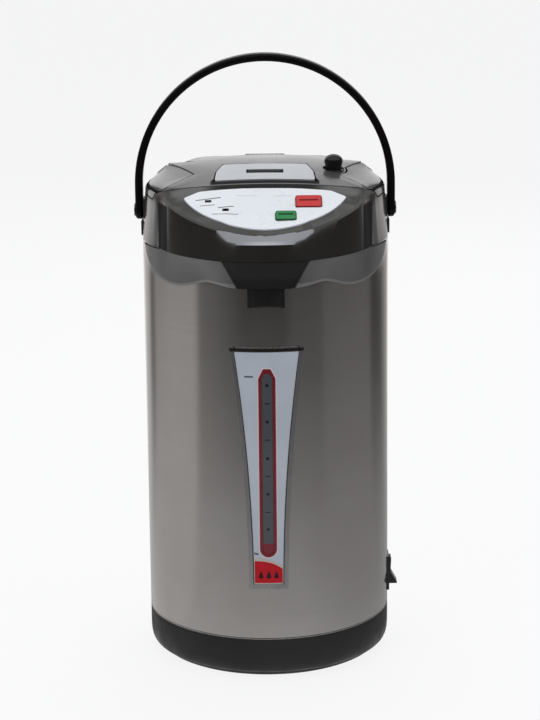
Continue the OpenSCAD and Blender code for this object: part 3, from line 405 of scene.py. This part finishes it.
# radius and height of the outline, from the inner lower edge outwards
skirt = [(0.0984, 0.0112), (0.0984, 0.0060), (0.0990, 0.0060), (0.0998, 0.0064),
         (0.1016, 0.0074), (0.1030, 0.0090), (0.1040, 0.0112), (0.1047, 0.0145),
         (0.10495, 0.0185), (body_r, 0.0230), (body_r, 0.0355), (0.1046, 0.0361),
         (0.1046, 0.0372), (0.1035, 0.0372), (0.1035, 0.0410), (0.1016, 0.0410),
         (0.1016, 0.0112)]
base_grey = moulded("base_plastic", (0.028, 0.027, 0.028), 0.5, 1100, 0.00003, 0.08,
                    {"Specular IOR Level": 0.22})
place_piece("base_skirt", turned(skirt, 128), base_grey, "pot",
            ["base_ring"], 40)


def paint(finish, *nodes):
    """Gives CAD nodes that keep their own shape a finish."""
    for node in nodes:
        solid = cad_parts[node]
        solid.data.materials.clear()
        solid.data.materials.append(finish.material)


def copied(node):
    """A CAD node's mesh, merged into one skin, for a piece that stands for it."""
    weld, flat = 0.00002, math.radians(0.4)
    bm = bmesh.new()
    bm.from_mesh(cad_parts[node].data)
    bmesh.ops.remove_doubles(bm, verts=bm.verts, dist=weld)
    bmesh.ops.dissolve_limit(bm, angle_limit=flat, verts=bm.verts, edges=bm.edges,
                             delimit={"NORMAL"})
    return bm


def softened(name, node, finish, body, width, crease=32):
    """A CAD node with its sharp edges rounded, as they leave a mould."""
    piece = place_piece(name, copied(node), finish, body, [node], crease)
    edge = piece.modifiers.new("edges", "BEVEL")
    edge.width, edge.segments, edge.profile = width, 2, 0.5
    edge.limit_method, edge.angle_limit = "ANGLE", math.radians(35)
    edge.use_clamp_overlap, edge.harden_normals = True, False


# -------------------------------------------------------------- base plate
# Closes the base from below: a moulded plate with cooling slots, held by four
# cross-head screws. A spring clip keeps the swivel pin in its bearing.
def metal(name, dark, light, blotch, gloss, rough, grain, depth, constants=()):
    """A bare metal. blotch, gloss and grain are noises: scale, detail, stretch."""
    made = Finish(name, {"Metallic": 1.0, **dict(constants)})
    made.set({"Base Color": made.mix(made.cloud(*blotch), (*dark, 1), (*light, 1)),
              "Roughness": made.cloud(*gloss).ramp(0.3, 0.7, *rough)})
    made.bump(made.cloud(*grain), depth)
    return made


softened("base_cover", "base_plate", black, "pot", 0.0004)
zinc = metal("screw_steel", (0.46, 0.46, 0.47), (0.62, 0.62, 0.62), (160, 3), (400, 2),
             (0.24, 0.42), (900, 2), 0.00002, {"Anisotropic": 0.2})
softened("base_plate_screws", "base_screws", zinc, "pot", 0.0002)
paint(zinc, "swivel_clip")


# -------------------------------------------------------------- steel body
# A sleeve rolled from satin steel sheet, brushed round its length. Its seam
# stands at the back, and both ends are curled under the mouldings.
steel = Finish("satin_steel", {"Metallic": 1.0, "Anisotropic": 0.7,
                               "Anisotropic Rotation": 0.25})
brushing = steel.cloud(1.0, 4, (9, 9, 2600))
smudge = steel.cloud(14, 4)
tint = steel.mix(smudge.ramp(0.35, 0.7), (0.485, 0.468, 0.458, 1), (0.520, 0.506, 0.498, 1))
steel.set({"Base Color": steel.mix(brushing * 0.16, tint, (0.34, 0.33, 0.325, 1)),
           "Roughness": brushing.ramp(0.25, 0.8, 0.17, 0.22) + smudge * 0.02})
steel.bump(brushing, 0.000004)
sleeve_low, sleeve_high = seam_z + 0.0004, 0.3662
sheet, bead = 0.0012, 0.0003
low_end = [(sheet, 0), (0.0004, 0), (0, 0.0006), (0, 0.0010), (bead, 0.0016), (0, 0.0024)]
high_end = [(0, 0.0060), (bead, 0.0052), (0, 0.0044), (0, 0.0008), (0.0006, 0), (sheet, 0)]
sleeve = [(body_r - inset, sleeve_low + up) for inset, up in low_end]
sleeve += [(body_r, sleeve_low + 0.0024 + k * 0.020) for k in range(1, 16)]
sleeve += [(body_r - inset, sleeve_high - down) for inset, down in high_end]
place_piece("steel_sleeve", turned(sleeve, 160), steel, "pot",
            ["outer_shell"], 30)

# the lock seam down the back of the sleeve
seam_middle = (0, body_r + 0.00005, (sleeve_low + sleeve_high) / 2)
seam_size = (0.0042, 0.0007, sleeve_high - sleeve_low - 0.0130, 1)
seam = bmesh.new()
bmesh.ops.create_cube(seam, size=1, matrix=Matrix.Translation(seam_middle)
                      @ Matrix.Diagonal(seam_size))
place_piece("sleeve_seam", rounded(seam, 0.0003), steel, "pot", crease=40)


# --------------------------------------------------- pot, heater and pump
# Inside the sleeve: the drawn steel pot with its gasket, the mica heater band
# and thermostat under it, and the pump whose tubes run up behind the gauge.
pot_steel = metal("pot_steel", (0.56, 0.56, 0.56), (0.70, 0.70, 0.69), (30, 4), (60, 3),
                  (0.16, 0.32), (1.0, 2, (20, 20, 900)), 0.00002)
softened("drawn_pot", "inner_pot", pot_steel, "pot", 0.0003, 40)
seal = moulded("white_seal", (0.70, 0.68, 0.63), 0.6, 1200, 0.00003, 0.05)
paint(seal, "pot_gasket", "suction_tube", "outlet_elbow", "spout_elbow", "lid_gasket")
mica = moulded("heater_mica", (0.26, 0.22, 0.16), 0.65, 600, 0.0001, 0.3)
paint(mica, "heater_band")
white_plastic = moulded("white_plastic", (0.68, 0.68, 0.66), 0.4, 1000, 0.00002, 0.05)
softened("filling_collar", "fill_collar", white_plastic, "pot", 0.0005)
paint(white_plastic, "pump_housing")
paint(moulded("grey_plastic", (0.17, 0.17, 0.18), 0.45), "impeller")
paint(zinc, "thermostat", "collar_screws")
paint(moulded("motor_steel", (0.36, 0.36, 0.38), 0.4, 500, 0.00003, 0.1,
              {"Metallic": 0.8}), "pump_motor")
paint(moulded("clear_tube", (0.62, 0.68, 0.72), 0.12, 300, 0.00001, 0.04), "gauge_tube")
circuit = moulded("board_green", (0.018, 0.11, 0.05), 0.35, 300, 0.00005, 0.25)
paint(circuit, "control_board", "power_board")


# ------------------------------------------------------------- level gauge
# A pressed metal frame round a printed panel, both bent to the body, with a
# red surround that holds the smoked window of the water tube.
def strip(along, across, middle, length, height, slant=0.0, soft=0.00012):
    """1 inside a bar and 0 outside it, for print and for painted shade."""
    u = along - middle[0]
    v = across - middle[1] - u * slant
    return (u.size().fall(length / 2 - soft, length / 2 + soft)
            * v.size().fall(height / 2 - soft, height / 2 + soft))


gauge_low, gauge_tall = 0.0830, 0.2085
gauge_half, gauge_flare = 0.0166, 0.0144
gauge_metal = metal("gauge_metal", (0.36, 0.36, 0.37), (0.46, 0.46, 0.47), (90, 3),
                    (1.0, 2, (900, 900, 8)), (0.26, 0.38), (1200, 2), 0.00001)
x, z = gauge_metal.axis(0), gauge_metal.axis(2)
rise = (z - gauge_low) * (1 / gauge_tall)
inward = x.size() - (rise.power(1.9) * gauge_flare + gauge_half)
# painted shade: the step down to the panel on each side, and a line over the panel, painted
# dark as their shade
step_shade = (inward.fall(-0.0040, -0.0031) * inward.ramp(-0.0052, -0.0046)
        * z.ramp(0.0868, 0.0874))
brow_shade = z.ramp(0.2872, 0.2880) * z.fall(0.2898, 0.2908)
gauge_metal.ink_and_painted_light(step_shade.largest(brow_shade), (0.085, 0.074, 0.072, 1))
softened("gauge_surround", "gauge_frame", gauge_metal, "pot", 0.0003)

gauge_print = moulded("gauge_print", (0.50, 0.54, 0.61), 0.40, 1500, 0.00001, 0.04,
                      {"Specular IOR Level": 0.25})
x, z = gauge_print.axis(0), gauge_print.axis(2)
# a pale line a millimetre wide round the slot, with a blunt tip above it
slot_r, slot_low, slot_high = 0.0070, 0.1110, 0.2650
below = (z - (slot_low + slot_r)).least(0.0)
edging = (x.diagonal(below).fall(slot_r + 0.0008, slot_r + 0.0011)
          * z.fall(slot_high - 0.0001, slot_high + 0.0001))
above = x.size() + (z - slot_high) * 0.48
cap = (above.fall(slot_r + 0.0009, slot_r + 0.0012)
       * z.ramp(slot_high - 0.0001, slot_high + 0.0001)
       * z.fall(slot_high + 0.0088, slot_high + 0.0091))
gauge_print.ink_and_painted_light(edging.largest(cap), (0.80, 0.66, 0.70, 1))
# the red label at the foot, with a pale curved edge and three plain drops
label_left, label_wide, label_high, label_fall = 0.0143, 0.0280, 0.1076, 0.0087
along = (x + label_left) * (1 / label_wide)
from_top = z - (along * along * along * -label_fall + label_high)
gauge_print.ink_and_painted_light(from_top.fall(0.0026, 0.0029), (0.50, 0.47, 0.44, 1))
red_field = (from_top.fall(-0.0002, 0.0002) * z.ramp(0.0880, 0.0884)
             * x.size().fall(0.0116, 0.0119))
gauge_print.ink_and_painted_light(red_field, (0.50, 0.005, 0.014, 1))
drop_z, drop_gap = 0.0940, 0.0065
for drop_x in (-drop_gap, 0.0, drop_gap):
    side, up = x - drop_x, z - drop_z
    ball = side.diagonal(up).fall(0.0019, 0.0021)
    point = (side.size() + up * 0.42).fall(0.0020, 0.0022) * up.ramp(0.0004, 0.0006)
    gauge_print.ink_and_painted_light(ball.largest(point), (0.045, 0.004, 0.012, 1))
# two plain bars left of the window, one near its top and one at its foot
gauge_print.ink_and_painted_light(strip(x, z, (-0.0150, 0.2666), 0.0072, 0.0015), (0.10, 0.11, 0.13, 1))
gauge_print.ink_and_painted_light(strip(x, z, (-0.0102, 0.1139), 0.0036, 0.0018, -0.2),
                    (0.12, 0.13, 0.15, 1))
softened("gauge_card", "gauge_panel", gauge_print, "pot", 0.00015)

gauge_red = moulded("gauge_red", (0.19, 0.004, 0.017), 0.28, 1200, 0.00002, 0.08,
                    {"Coat Weight": 0.3, "Coat Roughness": 0.1})
softened("gauge_rim", "gauge_bezel", gauge_red, "pot", 0.0003)
smoked = moulded("smoked_window", (0.070, 0.075, 0.084), 0.20, 700, 0.00001, 0.10,
                 {"Coat Weight": 0.5, "Coat Roughness": 0.08})
x, z = smoked.axis(0), smoked.axis(2)
dots_z = (0.2593, 0.2283, 0.1969, 0.1662, 0.1355)
dashes_z = (0.2438, 0.2127, 0.1815, 0.1503)
for mark_z in dots_z:
    smoked.ink_and_painted_light(x.diagonal(z - mark_z).fall(0.0012, 0.0015), (0.004, 0.004, 0.005, 1))
for mark_z in dashes_z:
    smoked.ink_and_painted_light(strip(x, z, (0.0, mark_z), 0.0042, 0.0010), (0.006, 0.006, 0.007, 1))
red_ends = z.fall(0.1228, 0.1231).largest(z.ramp(0.2690, 0.2693))
smoked.ink_and_painted_light(red_ends, (0.19, 0.005, 0.018, 1))
softened("gauge_glass", "gauge_window", smoked, "pot", 0.0002)


# --------------------------------------------------------------- head: bib
# The lower moulding of the head: a chin over the spout, painted matt black as the shade under
# the beak, and two pearl grey wings that hug the steel body. The spout nozzle has the chin's
# floor on it.
def pearl(name, colour, rough, coat):
    """Pearl grey plastic: dark resin full of fine metal flake, high gloss."""
    made = Finish(name, {"Metallic": 0.2, "Coat Weight": coat, "Coat Roughness": 0.12,
                         "IOR": 1.5})
    flake = made.add("ShaderNodeTexVoronoi", {"feature": "F1"},
                     {"Vector": made.place(), "Scale": 2200.0}, "Color")
    spark = made.add("ShaderNodeSeparateXYZ", {}, {0: flake}, 0)
    flow = made.cloud(16, 3)
    rub = made.cloud(85, 4)
    base = made.mix(flow.ramp(0.3, 0.7), shade(colour, 0.92), shade(colour, 1.08))
    made.set({"Base Color": made.mix(spark.ramp(0.55, 1.0) * 0.14, base, shade(colour, 2.1)),
              "Roughness": rub.ramp(0.3, 0.75, rough * 0.85, rough * 1.2)})
    made.bump(made.cloud(650, 2) + rub * 0.5, 0.000004)
    return made


bib_grey = pearl("bib_plastic", (0.105, 0.102, 0.106), 0.34, 0.4)
x, y, z = (bib_grey.axis(k) for k in range(3))
# painted sheen: the wings painted lighter towards their outer sides
bib_grey.ink_and_painted_light(x.size().ramp(0.084, 0.100), (0.185, 0.182, 0.188, 1))
# painted highlight: a lighter rim along the lower edge, which is lowest 43 degrees from the
# front and rises from there to the chin and, further, to the top of the wings
wing_from, wing_span, chin_to = 43.0, 29.8, 24
wing_top, wing_drop, chin_rise = 0.3662, 0.0274, 0.0068
turn = x.maths("ARCTAN2", x.size(), y * -1.0) * (180 / math.pi)
sweep = ((turn - wing_from) * (1 / wing_span)).largest(0.0).least(1.0)
curl = 1 - sweep.power(2.2)
low_edge = (curl.power(0.75) * -wing_drop + wing_top
            + turn.ramp(chin_to, wing_from, chin_rise, 0.0))
bib_grey.ink_and_painted_light((z - low_edge).fall(0.0010, 0.0019), (0.20, 0.198, 0.202, 1))
# painted shade in matt black: the chin, which widens upwards, as the shade under the beak, and
# the joint under the covers as the shadow in the gap
chin_low, chin_half, chin_flare = 0.3420, 0.0232, 0.52
chin = (x.size() - chin_half - (z - chin_low) * chin_flare).fall(-0.0010, 0.0012)
joint = z.ramp(0.3652, 0.3656) * x.size().ramp(0.086, 0.090)
bib_painted_shade = chin.largest(joint)
bib_grey.ink_and_painted_light(bib_painted_shade, (0.0085, 0.0085, 0.0085, 1))
bib_grey.set({"Coat Weight": 0.4 - bib_painted_shade * 0.38,
              "Roughness": bib_painted_shade.ramp(0.0, 1.0, 0.34, 0.6)})
softened("chin_and_wings", "bib", bib_grey, "pot", 0.0011, 28)
nozzle_black = moulded("nozzle_black", (0.009, 0.009, 0.009), 0.42, 1300, 0.00003, 0.1,
                       {"Specular IOR Level": 0.3})
softened("spout_nozzle", "nozzle", nozzle_black, "pot", 0.0008)


# ------------------------------------------------------------ head: covers
# The front cover with its beak, the rear cover with the shoulder caps, and a
# flat facet on each side of the lid. All are snapped onto the filling collar.
cover_grey = pearl("cover_plastic", (0.022, 0.0205, 0.0190), 0.24, 0.9)
normal = cover_grey.add("ShaderNodeNewGeometry", output="Normal")
upward = cover_grey.add("ShaderNodeSeparateXYZ", {}, {0: normal}, 2)
x, y, z = (cover_grey.axis(k) for k in range(3))
# painted highlight: the chamfer under the control panel painted bright, brightest low in its
# middle
crescent_highlight = (upward.ramp(0.40, 0.46) * upward.fall(0.69, 0.70)
            * z.ramp(0.3800, 0.3804) * y.fall(-0.1160, -0.1150)
            * x.size().fall(0.0380, 0.0400))
shine = z.fall(0.3812, 0.3840) * x.size().fall(0.002, 0.024)
cover_grey.ink_and_painted_light(crescent_highlight, cover_grey.mix(shine, (0.27, 0.28, 0.31, 1),
                                            (0.46, 0.47, 0.50, 1)))
# painted sheen: a lighter cheek at each side, with a stripe in front of it painted matt black
# as a dark reflection
cheek_x, cheek_top = 0.0885, 0.3960
cheek_sheen = x.size().ramp(cheek_x, cheek_x + 0.0015) * z.fall(cheek_top, cheek_top + 0.0080)
cover_grey.ink_and_painted_light(cheek_sheen, (0.105, 0.103, 0.104, 1))
# painted dark reflection: a matt black stripe down each corner of the beak
stripe_top = (0.4015, 0.4060)
corner = (x.size().ramp(0.0795, 0.0815) * x.size().fall(cheek_x, cheek_x + 0.0010)
          * z.fall(*stripe_top))
# painted shade: the ledge in front of the lid painted matt black as the shade in its step
ledge = y.ramp(-0.0565, -0.0550) * x.size().fall(0.0360, 0.0600) * z.ramp(0.4080, 0.4090)
painted_dark_part = corner.largest(ledge)
cover_grey.ink_and_painted_light(painted_dark_part, (0.010, 0.009, 0.009, 1))
# the top is a little duller than the face, above all over the dark corner stripe
over_stripe = x.size().ramp(0.0770, 0.0810) * z.ramp(*stripe_top)
top = upward.ramp(0.08, 0.30) * z.ramp(0.3740, 0.3860) * (1 - crescent_highlight)
dulled = painted_dark_part.largest(over_stripe * 0.75).largest(top * 0.5)
roughened = painted_dark_part.largest(over_stripe * 0.35).largest(top * 0.2)
cover_grey.set({"Coat Weight": 0.9 - dulled * 0.9,
                "Roughness": roughened.ramp(0.0, 1.0, 0.26, 0.85)})
softened("beak_cover", "front_cover", cover_grey, "pot", 0.0006, 28)
shell_grey = pearl("shell_plastic", (0.098, 0.096, 0.097), 0.24, 0.9)
softened("rear_shell", "rear_cover", shell_grey, "pot", 0.0005, 28)
# painted shadow: the facets' outer edge, against the shoulder caps, painted matt black as the
# shadow in the gap
facet_grey = pearl("lid_plastic", (0.084, 0.083, 0.086), 0.27, 0.6)
gap_shade_edge = facet_grey.axis(0).diagonal(facet_grey.axis(1)).ramp(0.0982, 0.0986)
facet_grey.ink_and_painted_light(gap_shade_edge, (0.008, 0.007, 0.007, 1))
facet_grey.set({"Coat Weight": 0.6 - gap_shade_edge * 0.6,
                "Roughness": gap_shade_edge.ramp(0.0, 1.0, 0.27, 0.85)})
softened("shoulder_facets", "side_facets", facet_grey, "pot", 0.0004, 28)


# ---------------------------------------------------------- control panel
# A bluish white printed film on the slope of the beak, with two indicator
# lenses on the left and the red and green keys on the right.
panel_white = moulded("panel_white", (0.84, 0.88, 0.93), 0.30, 1600, 0.00001, 0.02,
                      {"Coat Weight": 0.2, "Coat Roughness": 0.2})
dark_ink, pale_ink = (0.10, 0.10, 0.11, 1), (0.30, 0.31, 0.33, 1)
faint_ink, lens_ink = (0.66, 0.70, 0.76, 1), (0.006, 0.006, 0.007, 1)
x, y = panel_white.axis(0), panel_white.axis(1)
# middle, length, height, slant and ink of each plain bar, the lenses' last
bars = [((-0.0467, -0.0699), 0.0205, 0.0014, 0.18, dark_ink),
        ((-0.0471, -0.0802), 0.0120, 0.0014, 0.10, pale_ink),
        ((-0.0321, -0.0831), 0.0129, 0.0014, 0.14, dark_ink),
        ((-0.0325, -0.0938), 0.0211, 0.0014, 0.03, pale_ink),
        ((-0.0152, -0.0655), 0.0173, 0.0012, 0.0, faint_ink),
        ((0.0146, -0.0662), 0.0149, 0.0012, 0.0, faint_ink),
        ((-0.0466, -0.0736), 0.0054, 0.0042, 0.0, lens_ink),
        ((-0.0322, -0.0876), 0.0054, 0.0042, 0.0, lens_ink)]
for middle, length, height, slant, overlay_colour in bars:
    panel_white.ink_and_painted_light(strip(x, y, middle, length, height, slant), overlay_colour)
softened("panel_film", "control_panel", panel_white, "pot", 0.0003)
lens_dark = moulded("lens_dark", (0.020, 0.012, 0.010), 0.12, 500, 0.00001, 0.1,
                    {"Coat Weight": 0.5, "Coat Roughness": 0.05})
softened("indicators", "indicator_lenses", lens_dark, "pot", 0.0004)


def key_finish(name, colour, middle, size):
    """A moulded key: its edges and the groove along its top are painted darker, as their
    shade.
    """
    made = moulded(name, colour, 0.36, 1300, 0.00002, 0.06, {"Specular IOR Level": 0.3})
    u, v = made.axis(0) - middle[0], made.axis(1) - middle[1]
    edge = (u.size() - size[0] / 2).largest(v.size() - size[1] / 2).ramp(-0.0013, -0.0003)
    groove_up, groove_share, groove_deep = 0.0014, 0.72, 0.0026
    groove = strip(u, v, (0, groove_up), size[0] * groove_share, groove_deep, 0.0, 0.0003)
    # painted shade on the key's edges and in the groove along its top
    made.ink_and_painted_light(edge.largest(groove) * 0.8, shade(colour, 0.22))
    return made


red = key_finish("button_red", (0.62, 0.022, 0.026), (0.0358, -0.0768), (0.0215, 0.0168))
softened("pour_key", "red_button", red, "dispense_button", 0.0005)
green = key_finish("button_green", (0.009, 0.215, 0.055), (0.0169, -0.0972),
                   (0.0168, 0.0127))
softened("unlock_key", "green_button", green, "unlock_button", 0.0005)
paint(black, "tact_switches")


# ------------------------------------------------- mains inlet and switch
# Low at the back a socket for the loose lead, and low on the right a rocker
# switch in its own frame. Both are stock parts pressed into the sleeve.
softened("inlet_socket", "power_inlet", black, "pot", 0.0005)
brass = metal("contact_brass", (0.62, 0.50, 0.26), (0.74, 0.62, 0.36), (200, 3), (300, 2),
              (0.2, 0.34), (800, 2), 0.00002)
softened("inlet_contacts", "inlet_pins", brass, "pot", 0.0002)
switch_plastic = ((0.010, 0.010, 0.011), 0.3, 1200, 0.00003, 0.1)
switch_black = moulded("switch_black", *switch_plastic)
softened("switch_bezel", "switch_frame", switch_black, "pot", 0.0004)
# the rocker's two marks: a bar above its middle and a ring below it
rocker_black = moulded("rocker_black", *switch_plastic)
y, z = rocker_black.axis(1), rocker_black.axis(2)
rocker_mid, mark_rise = 0.0642, 0.0062
on_bar = strip(y, z, (0.0, rocker_mid + mark_rise), 0.0009, 0.0046)
off_ring = ((y.diagonal(z - (rocker_mid - mark_rise)) - 0.0019).size()
            .fall(0.0003, 0.0005))
for mark in (on_bar, off_ring):
    rocker_black.ink_and_painted_light(mark, (0.6, 0.6, 0.6, 1))
softened("rocker_key", "rocker", rocker_black, "power_rocker", 0.0005)


# ------------------------------------------------------------------ handle
# A bail of gloss black plastic, moulded in one piece. It swings on two headed
# steel pins, which are held in a black block at each side of the head.
pivot_black = moulded("pivot_plastic", (0.020, 0.020, 0.020), 0.45)
softened("pivot_bosses", "pivot_blocks", pivot_black, "pot", 0.0006)
softened("pivot_rivets", "pivot_pins", zinc, "pot", 0.0004)
handle_black = moulded("handle_black", (0.0050, 0.0038, 0.0038), 0.30, 900, 0.00002, 0.1,
                       {"Specular IOR Level": 0.12})
softened("bail_handle", "handle", handle_black, "bail", 0.0006)


# --------------------------------------------------------------------- lid
# The lid's moulded cover turns on a knuckle at the back, under a small black
# cap. Below it are the steel inner lid, its seal and the tray of the latch.
lid_grey = pearl("lip_plastic", (0.100, 0.099, 0.101), 0.27, 0.6)
x, y = lid_grey.axis(0), lid_grey.axis(1)
# painted shadow: a band in the lid along the front of the latch lever's pocket, painted dark
# as the pocket's shadow
pocket_shadow = (y.fall(-0.0380, -0.0374) * y.ramp(-0.0448, -0.0443)
          * x.size().fall(0.0440, 0.0470))
lid_grey.ink_and_painted_light(pocket_shadow, (0.012, 0.011, 0.011, 1))
lid_grey.set({"Coat Weight": 0.6 - pocket_shadow * 0.6,
              "Roughness": pocket_shadow.ramp(0.0, 1.0, 0.27, 0.9)})
softened("lid_top", "lid_cover", lid_grey, "lid", 0.0004, 28)
cap_middle, cap_size = (0, 0.0775, 0.4211), (0.0350, 0.0105, 0.0064, 1)
hinge_cap = bmesh.new()
bmesh.ops.create_cube(hinge_cap, size=1, matrix=Matrix.Translation(cap_middle)
                      @ Matrix.Diagonal(cap_size))
place_piece("hinge_cap", rounded(hinge_cap, 0.0010, 3), black, "lid")
softened("inner_lid", "lid_inner", pot_steel, "lid", 0.0003)
softened("knuckle", "lid_knuckle", black, "lid", 0.0004)
softened("hinge_mount", "hinge_bracket", black, "pot", 0.0004)
softened("hinge_rod", "hinge_pin", zinc, "pot", 0.0003)
paint(black, "latch_tray", "steam_seat")
paint(zinc, "latch_pin", "latch_bolt")


# --------------------------------------------------- latch and steam knob
# The silver painted latch lever with its finger slot, and the gloss black
# knob that locks the steam vent.
silver = moulded("latch_silver", (0.56, 0.585, 0.62), 0.32, 1400, 0.00001, 0.04,
                 {"Metallic": 0.5})
# painted shade: the finger slot painted near black as the shade inside it
slot_shade = strip(silver.axis(0), silver.axis(1), (0.0, -0.0217), 0.0312, 0.0076, 0.0, 0.0003)
silver.ink_and_painted_light(slot_shade, (0.012, 0.012, 0.016, 1))
silver.set({"Metallic": 0.5 - slot_shade * 0.5, "Roughness": slot_shade.ramp(0.0, 1.0, 0.32, 0.95)})
softened("latch_key", "latch_lever", silver, "latch", 0.0004, 28)
knob_black = moulded("knob_black", (0.009, 0.009, 0.009), 0.22, 700, 0.00001, 0.1,
                     {"Specular IOR Level": 0.35, "Coat Weight": 0.15,
                      "Coat Roughness": 0.1})
softened("vent_knob", "steam_knob", knob_black, "steam_lock", 0.0005)

low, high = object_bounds()
